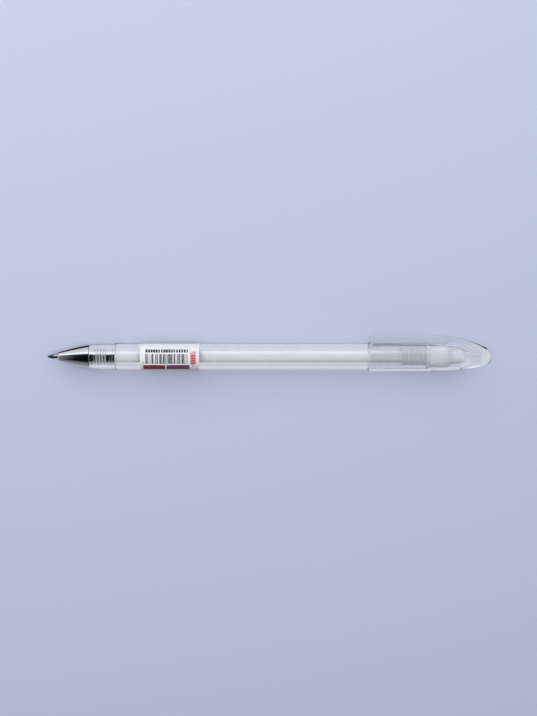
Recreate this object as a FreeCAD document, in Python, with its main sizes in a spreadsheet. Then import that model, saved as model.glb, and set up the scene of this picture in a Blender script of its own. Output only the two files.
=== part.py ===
import FreeCAD, Part
import os
import Sketcher

# Clear stick ballpoint pen with its cap posted on the rear end.
# Every piece is drawn along +X from the front of the ball, with the clip towards +Y.
# All pieces are then laid down together: the pen rests on its cap and on one edge of the clip.

doc = FreeCAD.newDocument("ballpoint_pen")

# Driving sizes in millimetres
SIZES = {
    # Ball and writing point
    "ball_diameter": 0.7,
    "ball_clearance": 0.01,
    "ball_showing": 0.22,
    "point_lip_diameter": 0.84,
    "point_taper_length": 1.85,
    "point_diameter": 1.55,
    "point_reach": 3.4,
    "point_clearance": 0.05,
    "point_shank_diameter": 2.3,
    "point_shank_length": 7.2,
    "point_channel_diameter": 0.4,
    # Nose cone
    "cone_length": 10.55,
    "cone_tip_diameter": 2.8,
    "cone_bend_diameter": 7.0,
    "cone_bend_length": 8.7,
    "cone_base_diameter": 7.6,
    "cone_seat_wall": 1.05,
    "cone_narrow_length": 4.5,
    "shank_length": 8.6,
    "shank_clearance": 0.025,
    "shank_ring_width": 0.65,
    "shank_ring_gap": 0.35,
    "shank_relief_width": 0.8,
    "shank_groove_depth": 0.3,
    # Barrel
    "barrel_length": 112.4,
    "barrel_diameter": 9.1,
    "bore_diameter": 5.65,
    "seat_step": 0.35,
    "front_seat_length": 8.7,
    "rear_seat_length": 19.4,
    "seat_lead_length": 3.4,
    "seat_lead_drop": 0.3,
    # Refill
    "refill_diameter": 4.0,
    "refill_bore": 2.9,
    "refill_clearance": 0.1,
    "refill_end_gap": 0.3,
    "holder_gap": 0.2,
    "holder_collar_length": 1.2,
    "holder_plug_length": 4.0,
    "holder_channel_diameter": 1.4,
    "ink_length": 86,
    # End plug
    "plug_shank_length": 8.2,
    "plug_barb_pitch": 1.35,
    "plug_barb_depth": 0.25,
    "plug_clearance": 0.025,
    "plug_socket_depth": 4.0,
    "plug_socket_clearance": 0.05,
    "plug_flange_step": 0.1,
    "plug_flange_width": 0.8,
    "plug_head_step": 0.55,
    "plug_head_length": 6.0,
    "plug_crown_length": 2.0,
    "plug_nub_diameter": 4.8,
    "plug_nub_length": 4.2,
    "plug_nub_edge": 0.8,
    # Cap and clip
    "cap_wall": 0.75,
    "cap_clearance": 0.05,
    "cap_mouth_gap": 0.1,
    "cap_rim": 0.3,
    "cap_straight_margin": 1.4,
    "cap_bend_length": 8.5,
    "cap_bend_drop": 0.44,
    "cap_crown_length": 8.0,
    "cap_crown_drop": 1.24,
    "cap_end_length": 3.8,
    "cap_tip_radius": 2.6,
    "cap_bore_margin": 0.8,
    "cap_cavity_diameter": 3.3,
    "cap_cavity_length": 5.0,
    "clip_thickness": 2.3,
    "clip_width": 3.8,
    "clip_round": 0.8,
    "clip_gap": 0.5,
    "clip_set_back": 0.35,
    "clip_lead_length": 3.0,
    "clip_lead_rise": 0.9,
    "clip_tip_round": 0.7,
    "clip_end_height": 2.885,
    "clip_end_margin": 1.5,
    "clip_end_lean": 1.04,
    "mouth_ring_width": 1.35,
    "slot_length": 24.6,
    "slot_side_gap": 0.3,
    "slot_overcut": 1.3,
    "slot_end_slope": 4.5,
    "slot_end_drop": 0.6,
    "ridge_diameter": 1.7,
    "ridge_length": 2.6,
    "ridge_place": 6.9,
    "ridge_gap": 0.1,
    # Paper label
    "label_place": 17.0,
    "label_length": 19.7,
    "label_width": 12.0,
    "label_thickness": 0.08,
    "label_turn": 10,
}


def make_sheet():
    sheet = doc.addObject("Spreadsheet::Sheet", "Sizes")
    for row, (name, size) in enumerate(SIZES.items(), start=1):
        sheet.set(f"A{row}", name)
        sheet.set(f"B{row}", str(size))
        sheet.setAlias(f"B{row}", name)
    doc.recompute()
    return sheet


sizes = make_sheet()
places = doc.addObject("App::VarSet", "Places")


def derive(name, expression, kind="App::PropertyFloat"):
    """Adds a value that is worked out from the sizes or from earlier places."""
    places.addProperty(kind, name)
    places.setExpression(name, expression)


# Stations along the pen
derive("ball_centre", "Sizes.ball_diameter / 2")
derive("taper_end", "Sizes.ball_showing + Sizes.point_taper_length")
derive("cone_face", "Sizes.point_reach")
derive("cone_seat", "cone_face + Sizes.cone_seat_wall")
derive("cone_step", "cone_seat + Sizes.cone_narrow_length")
derive("cone_base", "cone_face + Sizes.cone_length")
derive("shank_end", "cone_base + Sizes.shank_length")
derive("point_end", "cone_seat + Sizes.point_shank_length")
derive("holder_front", "cone_step + Sizes.holder_gap")
derive("tube_front", "holder_front + Sizes.holder_collar_length")
derive("holder_end", "tube_front + Sizes.holder_plug_length")
derive("front_shoulder", "cone_base + Sizes.front_seat_length")
derive("label_start", "cone_base + Sizes.label_place")
derive("barrel_end", "cone_base + Sizes.barrel_length")
derive("rear_shoulder", "barrel_end - Sizes.rear_seat_length")
derive("plug_front", "barrel_end - Sizes.plug_shank_length")
derive("socket_end", "plug_front + Sizes.plug_socket_depth")
derive("tube_end", "socket_end - Sizes.refill_end_gap")
derive("flange_end", "barrel_end + Sizes.plug_flange_width")
derive("head_end", "flange_end + Sizes.plug_head_length")
derive("nub_start", "head_end + Sizes.plug_crown_length")
derive("nub_end", "nub_start + Sizes.plug_nub_length")
derive("cap_mouth", "rear_shoulder + Sizes.cap_mouth_gap")
derive("cap_shoulder", "barrel_end + Sizes.cap_straight_margin")
derive("cap_bend", "cap_shoulder + Sizes.cap_bend_length")
derive("crown_start", "cap_bend + Sizes.cap_crown_length")
derive("cap_end", "crown_start + Sizes.cap_end_length")
derive("cap_bore_end", "nub_end + Sizes.cap_bore_margin")
derive("cavity_end", "cap_bore_end + Sizes.cap_cavity_length")

# Radii that fit one piece to another
derive("barrel_radius", "Sizes.barrel_diameter / 2")
derive("seat_radius", "barrel_radius - Sizes.seat_step")
derive("bore_radius", "Sizes.bore_diameter / 2")
derive("shank_radius", "bore_radius - Sizes.shank_clearance")
derive("groove_radius", "shank_radius - Sizes.shank_groove_depth")
derive("refill_radius", "Sizes.refill_diameter / 2")
derive("cone_bore_radius", "refill_radius + Sizes.refill_clearance")
derive("point_radius", "Sizes.point_diameter / 2")
derive("point_shank_radius", "Sizes.point_shank_diameter / 2")
derive("channel_radius", "Sizes.point_channel_diameter / 2")
derive("socket_radius", "Sizes.ball_diameter / 2 + Sizes.ball_clearance")
derive("plug_radius", "bore_radius - Sizes.plug_clearance")
derive("head_radius", "seat_radius - Sizes.plug_head_step")
derive("nub_radius", "Sizes.plug_nub_diameter / 2")
derive("cap_bore_radius", "seat_radius + Sizes.cap_clearance")
derive("cap_radius", "cap_bore_radius + Sizes.cap_wall")

# The cap narrows in two tapers, and a third runs from them to the round tip, at a tangent
derive("cap_bend_radius", "cap_radius - Sizes.cap_bend_drop")
derive("crown_radius", "cap_bend_radius - Sizes.cap_crown_drop")
derive("tip_centre", "cap_end - Sizes.cap_tip_radius")
derive("crown_reach", "sqrt((tip_centre - crown_start) ^ 2 + crown_radius ^ 2)")
derive(
    "crown_angle",
    "180 deg - atan(crown_radius / (tip_centre - crown_start))"
    " - acos(Sizes.cap_tip_radius / crown_reach)",
    "App::PropertyAngle",
)
derive("tip_start_x", "tip_centre + Sizes.cap_tip_radius * cos(crown_angle)")
derive("tip_start_y", "Sizes.cap_tip_radius * sin(crown_angle)")

# The cap's bore tapers as the second taper does and ends in a narrow cavity
derive("cavity_radius", "Sizes.cap_cavity_diameter / 2")
derive(
    "bore_end_radius",
    "cap_bend_radius - Sizes.cap_wall"
    " - Sizes.cap_crown_drop * (cap_bore_end - cap_bend) / Sizes.cap_crown_length",
)

# Clip, with its underside just above the barrel's seat
derive("clip_under", "seat_radius + Sizes.clip_gap")
derive("clip_height", "clip_under + Sizes.clip_thickness")
derive("clip_tip", "cap_mouth + Sizes.clip_set_back")
derive("clip_lead_end", "clip_tip + Sizes.clip_lead_length")
derive("slot_start", "cap_mouth + Sizes.mouth_ring_width")
derive("slot_end", "slot_start + Sizes.slot_length")
derive("slot_floor", "cap_bore_radius - Sizes.slot_overcut")
derive("clip_end", "cap_end - Sizes.clip_end_margin")
derive("clip_sweep_drop", "clip_height - Sizes.clip_end_height")
derive(
    "clip_sweep_radius",
    "((clip_end - cap_shoulder) ^ 2 + clip_sweep_drop ^ 2) / (2 * clip_sweep_drop)",
)

# The pen comes to rest with the cap's underside and the clip's lower rounded edge on the ground
derive("clip_across", "Sizes.clip_width / 2 - Sizes.clip_round")
derive("clip_up", "clip_height - Sizes.clip_round")
derive("edge_reach", "sqrt(clip_across ^ 2 + clip_up ^ 2)")
derive(
    "clip_droop",
    "asin((cap_radius - Sizes.clip_round) / edge_reach) - atan(clip_across / clip_up)",
    "App::PropertyAngle",
)
derive(
    "side_reach",
    "clip_up * cos(clip_droop) + clip_across * sin(clip_droop) + Sizes.clip_round",
)
doc.recompute()


def value(expression):
    result = places.evalExpression(expression)
    return float(getattr(result, "Value", result))


def origin_feature(body, role):
    for feature in body.Origin.OriginFeatures:
        if feature.Role == role:
            return feature
    raise ValueError(role)


def new_body(name):
    body = doc.addObject("PartDesign::Body", name)
    body.Label = name
    return body


def lay_down(body, turn="0 deg"):
    """Turns the piece about the pen's axis and sets the pen down, centred over the origin."""
    body.Placement = FreeCAD.Placement(
        FreeCAD.Vector(0, 0, 0), FreeCAD.Rotation(FreeCAD.Vector(1, 0, 0), 45)
    )
    body.setExpression("Placement.Base.x", "-Places.cap_end / 2")
    body.setExpression("Placement.Base.y", "(Places.cap_radius - Places.side_reach) / 2")
    body.setExpression("Placement.Base.z", "Places.cap_radius")
    body.setExpression("Placement.Rotation.Angle", f"{turn} - Places.clip_droop")


def arc_through(start, end, radius):
    """An arc from start to end, to the left of that way where the radius is above zero."""
    chord = end - start
    half = chord.Length / 2
    side = FreeCAD.Vector(-chord.y, chord.x, 0).normalize()
    sagitta = abs(radius) - (radius ** 2 - half ** 2) ** 0.5
    middle = start + chord * 0.5 + side * (sagitta if radius > 0 else -sagitta)
    return Part.Arc(start, middle, end)


def draw_outline(body, name, corners, arcs=None):
    """A closed sketch whose corners, and whose arcs' radii, follow the sizes.

    arcs maps the number of the corner where an arc starts to its radius; a radius with a
    minus sign bows the arc to the right of the way round.
    """
    arcs = arcs or {}
    sketch = body.newObject("Sketcher::SketchObject", name)
    sketch.AttachmentSupport = (origin_feature(body, "XY_Plane"), [""])
    sketch.MapMode = "FlatFace"
    points = [FreeCAD.Vector(value(across), value(up), 0) for across, up in corners]
    starts = []
    for index, start in enumerate(points):
        end = points[(index + 1) % len(points)]
        if index in arcs:
            sketch.addGeometry(arc_through(start, end, value(arcs[index])))
        else:
            sketch.addGeometry(Part.LineSegment(start, end))
        forwards = sketch.getPoint(index, 1).distanceToPoint(start) < 1e-6
        starts.append(1 if forwards else 2)
    for index, (across, up) in enumerate(corners):
        before = index - 1 if index else len(corners) - 1
        sketch.addConstraint(
            Sketcher.Constraint("Coincident", before, 3 - starts[before], index, starts[index])
        )
        for kind, expression, distance, axis in (
            ("DistanceX", across, points[index].x, -2),
            ("DistanceY", up, points[index].y, -1),
        ):
            if expression == "0":
                sketch.addConstraint(
                    Sketcher.Constraint("PointOnObject", index, starts[index], axis)
                )
            else:
                number = sketch.addConstraint(
                    Sketcher.Constraint(kind, -1, 1, index, starts[index], distance)
                )
                sketch.setExpression(f"Constraints[{number}]", expression)
    for index, radius in arcs.items():
        number = sketch.addConstraint(
            Sketcher.Constraint("Radius", index, abs(value(radius)))
        )
        sketch.setExpression(f"Constraints[{number}]", f"abs({radius})")
    return sketch


def turn_about_axis(body, kind, sketch, name):
    """A revolution or a groove of the sketch about the pen's axis."""
    feature = body.newObject(kind, name)
    feature.Profile = sketch
    feature.ReferenceAxis = (sketch, ["H_Axis"])
    feature.Angle = 360
    doc.recompute()
    return feature


def turned_piece(name, corners, arcs=None):
    body = new_body(name)
    sketch = draw_outline(body, f"{name}_outline", corners, arcs)
    turn_about_axis(body, "PartDesign::Revolution", sketch, f"{name}_turned")
    lay_down(body)
    return body


def make_ball():
    body = new_body("ball")
    sphere = body.newObject("PartDesign::AdditiveSphere", "ball_sphere")
    sphere.setExpression("Radius", "Sizes.ball_diameter / 2")
    sphere.setExpression("Placement.Base.x", "Places.ball_centre")
    lay_down(body)
    return body


def make_writing_point():
    """A turned point whose socket is spun over the ball, with a channel for the ink."""
    lip_height = "sqrt(Places.socket_radius ^ 2 - (Places.ball_centre - Sizes.ball_showing) ^ 2)"
    socket_back = "Places.ball_centre + sqrt(Places.socket_radius ^ 2 - Places.channel_radius ^ 2)"
    corners = [
        ("Sizes.ball_showing", lip_height),
        ("Sizes.ball_showing", "Sizes.point_lip_diameter / 2"),
        ("Places.taper_end", "Places.point_radius"),
        ("Places.cone_seat", "Places.point_radius"),
        ("Places.cone_seat", "Places.point_shank_radius"),
        ("Places.point_end", "Places.point_shank_radius"),
        ("Places.point_end", "Places.channel_radius"),
        (socket_back, "Places.channel_radius"),
    ]
    return turned_piece("writing_point", corners, {7: "-Places.socket_radius"})


def make_nose_cone():
    """Cone in two tapers with its threaded shank, and a stepped bore that stops the point."""
    hole = "Places.point_radius + Sizes.point_clearance"
    narrow = "Places.point_shank_radius + Sizes.point_clearance"
    last_ring = "Places.shank_end - Sizes.shank_ring_width"
    ring_gap = f"{last_ring} - Sizes.shank_ring_gap"
    first_ring = f"{ring_gap} - Sizes.shank_ring_width"
    relief = f"{first_ring} - Sizes.shank_relief_width"
    corners = [
        ("Places.cone_face", hole),
        ("Places.cone_face", "Sizes.cone_tip_diameter / 2"),
        ("Places.cone_face + Sizes.cone_bend_length", "Sizes.cone_bend_diameter / 2"),
        ("Places.cone_base", "Sizes.cone_base_diameter / 2"),
        ("Places.cone_base", "Places.shank_radius"),
        (relief, "Places.shank_radius"),
        (relief, "Places.groove_radius"),
        (first_ring, "Places.groove_radius"),
        (first_ring, "Places.shank_radius"),
        (ring_gap, "Places.shank_radius"),
        (ring_gap, "Places.groove_radius"),
        (last_ring, "Places.groove_radius"),
        (last_ring, "Places.shank_radius"),
        ("Places.shank_end", "Places.shank_radius"),
        ("Places.shank_end", "Places.cone_bore_radius"),
        ("Places.cone_step", "Places.cone_bore_radius"),
        ("Places.cone_step", narrow),
        ("Places.cone_seat", narrow),
        ("Places.cone_seat", hole),
    ]
    return turned_piece("nose_cone", corners)


def make_barrel():
    """Clear tube with a seat for the cap at each end and a bore right through."""
    corners = [
        ("Places.cone_base", "Places.bore_radius"),
        ("Places.cone_base", "Places.seat_radius - Sizes.seat_lead_drop"),
        ("Places.cone_base + Sizes.seat_lead_length", "Places.seat_radius"),
        ("Places.front_shoulder", "Places.seat_radius"),
        ("Places.front_shoulder", "Places.barrel_radius"),
        ("Places.rear_shoulder", "Places.barrel_radius"),
        ("Places.rear_shoulder", "Places.seat_radius"),
        ("Places.barrel_end", "Places.seat_radius"),
        ("Places.barrel_end", "Places.bore_radius"),
    ]
    return turned_piece("barrel", corners)


def make_refill_tube():
    corners = [
        ("Places.tube_front", "Sizes.refill_bore / 2"),
        ("Places.tube_front", "Places.refill_radius"),
        ("Places.tube_end", "Places.refill_radius"),
        ("Places.tube_end", "Sizes.refill_bore / 2"),
    ]
    return turned_piece("refill_tube", corners)


def make_tip_holder():
    """Adapter pressed on the point's shank, with a collar that stops at the tube's end."""
    corners = [
        ("Places.holder_front", "Places.point_shank_radius"),
        ("Places.holder_front", "Places.refill_radius"),
        ("Places.tube_front", "Places.refill_radius"),
        ("Places.tube_front", "Sizes.refill_bore / 2"),
        ("Places.holder_end", "Sizes.refill_bore / 2"),
        ("Places.holder_end", "Sizes.holder_channel_diameter / 2"),
        ("Places.point_end", "Sizes.holder_channel_diameter / 2"),
        ("Places.point_end", "Places.point_shank_radius"),
    ]
    return turned_piece("tip_holder", corners)


def make_ink_fill():
    corners = [
        ("Places.holder_end", "0"),
        ("Places.holder_end", "Sizes.refill_bore / 2"),
        ("Places.holder_end + Sizes.ink_length", "Sizes.refill_bore / 2"),
        ("Places.holder_end + Sizes.ink_length", "0"),
    ]
    return turned_piece("ink_fill", corners)


def make_end_plug():
    """Plug with a flange on the barrel's end, a stepped head and a barbed, socketed shank."""
    flange_radius = "Places.seat_radius - Sizes.plug_flange_step"
    socket = "Places.refill_radius + Sizes.plug_socket_clearance"
    corners = [
        ("Places.socket_end", "0"),
        ("Places.socket_end", socket),
        ("Places.plug_front", socket),
        ("Places.plug_front", "Places.plug_radius"),
        ("Places.barrel_end", "Places.plug_radius"),
        ("Places.barrel_end", flange_radius),
        ("Places.flange_end", flange_radius),
        ("Places.flange_end", "Places.head_radius"),
        ("Places.head_end", "Places.head_radius"),
        ("Places.nub_start", "Places.nub_radius"),
        ("Places.nub_end - Sizes.plug_nub_edge", "Places.nub_radius"),
        ("Places.nub_end", "Places.nub_radius - Sizes.plug_nub_edge"),
        ("Places.nub_end", "0"),
    ]
    body = new_body("end_plug")
    sketch = draw_outline(body, "end_plug_outline", corners)
    turn_about_axis(body, "PartDesign::Revolution", sketch, "end_plug_turned")
    notch_corners = [
        ("Places.plug_front", "Places.plug_radius"),
        ("Places.plug_front", "Places.plug_radius - Sizes.plug_barb_depth"),
        ("Places.plug_front + Sizes.plug_barb_pitch", "Places.plug_radius"),
    ]
    notch_sketch = draw_outline(body, "barb_notch_outline", notch_corners)
    notch = turn_about_axis(body, "PartDesign::Groove", notch_sketch, "barb_notch")
    barbs = body.newObject("PartDesign::LinearPattern", "barbs")
    barbs.Originals = [notch]
    barbs.Direction = (origin_feature(body, "X_Axis"), [""])
    barbs.Mode = "Spacing"
    barbs.setExpression("Offset", "Sizes.plug_barb_pitch")
    barbs.setExpression(
        "Occurrences", "floor(Sizes.plug_shank_length / Sizes.plug_barb_pitch)"
    )
    body.Tip = barbs
    doc.recompute()
    lay_down(body)
    return body


def make_cap():
    """Clear cap moulded in one with its clip, over a slot in the wall."""
    body = new_body("cap")
    shell_corners = [
        ("Places.cap_mouth", "0"),
        ("Places.cap_mouth", "Places.cap_radius - Sizes.cap_rim"),
        ("Places.cap_mouth + Sizes.cap_rim", "Places.cap_radius"),
        ("Places.cap_shoulder", "Places.cap_radius"),
        ("Places.cap_bend", "Places.cap_bend_radius"),
        ("Places.crown_start", "Places.crown_radius"),
        ("Places.tip_start_x", "Places.tip_start_y"),
        ("Places.cap_end", "0"),
    ]
    shell_arcs = {6: "Sizes.cap_tip_radius"}
    shell = draw_outline(body, "cap_outline", shell_corners, shell_arcs)
    turn_about_axis(body, "PartDesign::Revolution", shell, "cap_turned")

    slot_corners = [
        ("Places.slot_start", "Places.slot_floor"),
        ("Places.slot_start", "Places.cap_radius + Sizes.clip_gap"),
        ("Places.slot_end", "Places.cap_radius + Sizes.clip_gap"),
        ("Places.slot_end", "Places.slot_floor"),
    ]
    slot_sketch = draw_outline(body, "slot_outline", slot_corners)
    slot = body.newObject("PartDesign::Pocket", "slot")
    slot.Profile = slot_sketch
    slot.Midplane = True
    slot.setExpression("Length", "Sizes.clip_width + 2 * Sizes.slot_side_gap")
    doc.recompute()

    clip_corners = [
        ("Places.clip_tip", "Places.clip_under + Sizes.clip_lead_rise"),
        ("Places.clip_lead_end", "Places.clip_under"),
        ("Places.slot_end - Sizes.slot_end_slope", "Places.clip_under"),
        ("Places.slot_end", "Places.clip_under - Sizes.slot_end_drop"),
        ("Places.slot_end", "Places.slot_floor"),
        ("Places.tip_centre", "Places.cavity_radius"),
        ("Places.clip_end + Sizes.clip_end_lean", "Places.cavity_radius"),
        ("Places.clip_end", "Sizes.clip_end_height"),
        ("Places.cap_shoulder", "Places.clip_height"),
        ("Places.clip_tip + Sizes.clip_tip_round", "Places.clip_height"),
        ("Places.clip_tip", "Places.clip_height - Sizes.clip_tip_round"),
    ]
    clip_arcs = {
        6: "-Sizes.cap_tip_radius",
        7: "-Places.clip_sweep_radius",
        9: "-Sizes.clip_tip_round",
    }
    clip_sketch = draw_outline(body, "clip_outline", clip_corners, clip_arcs)
    clip = body.newObject("PartDesign::Pad", "clip")
    clip.Profile = clip_sketch
    clip.Midplane = True
    clip.setExpression("Length", "Sizes.clip_width")
    doc.recompute()

    edges = []
    half_width = value("Sizes.clip_width / 2")
    for number, edge in enumerate(clip.Shape.Edges, start=1):
        box = edge.BoundBox
        flat = box.ZLength < 1e-6 and abs(abs(box.ZMin) - half_width) < 1e-6
        on_top = box.YMax > value("Places.clip_height") - 1e-3 and box.XLength > 1
        if flat and on_top:
            edges.append(f"Edge{number}")
    rounding = body.newObject("PartDesign::Fillet", "clip_rounding")
    rounding.Base = (clip, edges)
    rounding.setExpression("Radius", "Sizes.clip_round")
    doc.recompute()

    bore_corners = [
        ("Places.cap_mouth", "0"),
        ("Places.cap_mouth", "Places.cap_bore_radius"),
        ("Places.cap_shoulder", "Places.cap_bore_radius"),
        ("Places.cap_bore_end", "Places.bore_end_radius"),
        ("Places.cap_bore_end", "Places.cavity_radius"),
        ("Places.cavity_end", "Places.cavity_radius"),
        ("Places.cavity_end", "0"),
    ]
    bore = draw_outline(body, "cap_bore_outline", bore_corners)
    turn_about_axis(body, "PartDesign::Groove", bore, "cap_bore")

    ridge = body.newObject("PartDesign::AdditiveCylinder", "clip_ridge")
    ridge.setExpression("Radius", "Sizes.ridge_diameter / 2")
    ridge.setExpression("Height", "Sizes.ridge_length")
    ridge.setExpression("Placement.Base.x", "Places.cap_mouth + Sizes.ridge_place")
    ridge.setExpression(
        "Placement.Base.y", "Places.seat_radius + Sizes.ridge_gap + Sizes.ridge_diameter / 2"
    )
    ridge.setExpression("Placement.Base.z", "-Sizes.ridge_length / 2")
    doc.recompute()
    lay_down(body)
    return body


def make_price_label():
    """Paper label wrapped part of the way round the barrel."""
    body = new_body("price_label")
    inner = "Places.barrel_radius"
    outer = "Places.barrel_radius + Sizes.label_thickness"
    corners = [
        ("Places.label_start", inner),
        ("Places.label_start", outer),
        ("Places.label_start + Sizes.label_length", outer),
        ("Places.label_start + Sizes.label_length", inner),
    ]
    sketch = draw_outline(body, "label_outline", corners)
    wrap = turn_about_axis(body, "PartDesign::Revolution", sketch, "label_wrap")
    wrap.Midplane = True
    wrap.setExpression(
        "Angle", f"Sizes.label_width / ({inner}) * 180 deg / pi"
    )
    doc.recompute()
    lay_down(body, "90 deg + Sizes.label_turn * 1 deg")
    return body


pieces = [
    make_ball(),
    make_writing_point(),
    make_nose_cone(),
    make_barrel(),
    make_refill_tube(),
    make_tip_holder(),
    make_ink_fill(),
    make_end_plug(),
    make_cap(),
    make_price_label(),
]
doc.recompute()

for item in doc.Objects:
    if "Invalid" in item.State or "Error" in item.State:
        raise RuntimeError(f"{item.Name} is {item.State}")
for piece in pieces:
    if piece.Shape.isNull() or not piece.Shape.isValid():
        raise RuntimeError(f"{piece.Label} has no valid shape")

os.makedirs("parts", exist_ok=True)
for piece in pieces:
    piece.Shape.exportStep(f"parts/{piece.Label}.step")
    print(piece.Label, len(piece.Shape.Solids), round(piece.Shape.Volume, 3), piece.Shape.BoundBox)
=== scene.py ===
"""A clear stick ballpoint pen with its cap posted on the rear end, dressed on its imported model."""

import math

import bmesh
import bpy
from bpy.props import FloatProperty, FloatVectorProperty, IntProperty, PointerProperty
from bpy.types import Operator, Panel, PropertyGroup
from mathutils import Matrix, Vector


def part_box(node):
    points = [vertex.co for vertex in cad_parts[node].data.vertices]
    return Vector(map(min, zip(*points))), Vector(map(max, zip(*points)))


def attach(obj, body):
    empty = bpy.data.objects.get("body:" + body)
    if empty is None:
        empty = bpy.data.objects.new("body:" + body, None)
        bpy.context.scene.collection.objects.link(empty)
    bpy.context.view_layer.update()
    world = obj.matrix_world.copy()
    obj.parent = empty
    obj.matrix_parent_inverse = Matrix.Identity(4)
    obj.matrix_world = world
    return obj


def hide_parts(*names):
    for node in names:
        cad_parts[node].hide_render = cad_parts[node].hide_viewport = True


bl_info = {
    "name": "Clear Ballpoint Pen",
    "version": (1, 0, 0),
    "blender": (4, 5, 0),
    "location": "View3D > Sidebar > Pen",
    "description": "A clear stick ballpoint pen with a posted cap, a price label and its studio",
    "category": "Object",
}

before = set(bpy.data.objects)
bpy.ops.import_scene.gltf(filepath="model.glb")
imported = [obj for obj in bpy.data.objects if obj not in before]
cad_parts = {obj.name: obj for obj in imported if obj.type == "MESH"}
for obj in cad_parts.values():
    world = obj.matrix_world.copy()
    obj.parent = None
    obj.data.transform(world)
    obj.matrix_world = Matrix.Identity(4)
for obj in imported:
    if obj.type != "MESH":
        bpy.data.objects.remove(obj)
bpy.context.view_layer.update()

MM = 0.001
ROUND_STEPS = 192  # faces round the barrel and the cap
INNER_STEPS = 128  # faces round the pieces inside them
SHARP_ANGLE = math.radians(32)
SUPPORT = 0.03 * MM  # short flat stretch at each end of a rounding
NO_RADIUS = 1e-9  # a ring narrower than this is one point on the axis
SKIN = 0.01 * MM  # gap between faces that would otherwise lie in one place
TIP_HOLE_LENGTH = 1.05 * MM  # narrow hole at the front of the nose cone
LEAD = 3 * MM  # stretch in which the clip's underside lifts towards its tip
LABEL_TURN = math.radians(100)  # from the clip's side to the middle of the label
CLIP_DROOP = math.radians(31.77)  # turn that rests the clip's edge on the floor
QUARTER_TURN = (0, math.pi / 2, 0)  # from Z to X

BARREL_LOW, BARREL_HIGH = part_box("barrel")
AXIS_Y = (BARREL_LOW.y + BARREL_HIGH.y) / 2
AXIS_Z = (BARREL_LOW.z + BARREL_HIGH.z) / 2
BARREL_RADIUS = (BARREL_HIGH.z - BARREL_LOW.z) / 2

# Pieces are made along X with the clip towards +Y, and then laid down on the clip's edge
LAY_DOWN = Matrix.Translation((0, AXIS_Y, AXIS_Z)) @ Matrix.Rotation(-CLIP_DROOP, 4, "X")


def start_of(node):
    """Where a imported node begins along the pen."""
    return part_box(node)[0].x


def end_of(node):
    """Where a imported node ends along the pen."""
    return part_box(node)[1].x


def radius_of(node):
    """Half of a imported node's height."""
    low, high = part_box(node)
    return (high.z - low.z) / 2


def length(name, description, millimetres):
    """A length property whose default is given in millimetres."""
    default = millimetres * MM
    return FloatProperty(
        name=name, description=description, default=default, min=0, unit="LENGTH", precision=5
    )


def whole(name, description, default):
    """A property of a number of pieces, or of a seed."""
    return IntProperty(name=name, description=description, default=default, min=1)


def colour(name, description, default):
    """A colour property of three levels."""
    return FloatVectorProperty(
        name=name, description=description, default=default, size=3, min=0, max=1, subtype="COLOR"
    )


class PenBodySizes(PropertyGroup):
    """Sizes of the barrel, the nose cone, the refill and the end plug"""

    bore: length("Barrel bore", "Radius of the hole right through the barrel", 2.825)
    seat_step: length("Seat step", "How far each cap seat lies below the barrel", 0.35)
    front_seat: length("Front seat", "Length of the seat beside the nose cone", 8.7)
    rear_seat: length("Rear seat", "Length of the seat under the posted cap", 19.4)
    seat_lead: length("Seat lead", "Length of the taper at the barrel's front end", 3.4)
    seat_lead_drop: length("Seat lead drop", "How far that taper drops", 0.3)
    cone_tip: length("Cone tip", "Radius of the nose cone at its front", 1.4)
    cone_bow: length("Cone bow", "How far the nose cone's side bows outwards", 0.14)
    cone_length: length("Cone length", "Length of the nose cone outside the barrel", 10.55)
    thread_core: length("Thread core", "Radius of the shank between the thread's turns", 2.38)
    thread_crest: length("Thread crest", "Radius of the thread's round turns", 0.43)
    thread_pitch: length("Thread pitch", "Distance between two turns of the thread", 0.96)
    thread_start: length("Thread start", "Where the thread begins behind the cone", 1.5)
    ring_width: length("Ring width", "Width of the two rings behind the thread", 0.65)
    ring_gap: length("Ring gap", "Gap between those rings", 0.35)
    ring_relief: length("Ring relief", "Gap between the thread and the rings", 0.8)
    groove_depth: length("Groove depth", "Depth of the grooves beside the rings", 0.3)
    rib_pitch: length("Rib pitch", "Distance between two ribs on the end plug", 1.0)
    rib_height: length("Rib height", "How far the ribs stand out from the plug's shank", 0.15)
    rib_count: whole("Ribs", "Number of ribs on the end plug", 7)


class CapSizes(PropertyGroup):
    """Sizes of the cap and its clip"""

    wall: length("Wall", "Thickness of the cap's wall", 0.745)
    rim: length("Rim", "Rounding of the cap's mouth", 0.3)
    straight: length("Straight stretch", "Length of the cap before it narrows", 20.7)
    shoulder_radius: length("Shoulder radius", "Radius of the curve to the crown", 82)
    shoulder: length("Shoulder", "Length of that curve", 16.5)
    clip_top: length("Clip height", "Height of the clip's top above the axis", 6.99)
    clip_under: length("Clip underside", "Height of the clip's underside above the axis", 4.7)
    clip_width: length("Clip width", "Width of the clip", 3.79)
    clip_round: length("Clip rounding", "Rounding of the clip's upper edges", 0.8)
    slot_side: length("Slot clearance", "Gap beside the clip in the slot", 0.3)
    ridge: length("Ridge", "Radius of the ridge under the clip", 0.85)
    ridge_place: length("Ridge place", "Distance of the ridge from the cap's mouth", 6.9)


class LabelSizes(PropertyGroup):
    """Sizes of the price label and its print"""

    bar_count: whole("Bars", "Number of printed bars", 27)
    bar_seed: whole("Bar seed", "Seed of the bars' widths", 7)
    mark_count: whole("Marks", "Number of plain marks under the bars", 17)
    mark_seed: whole("Mark seed", "Seed of the plain marks' widths", 3)


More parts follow.
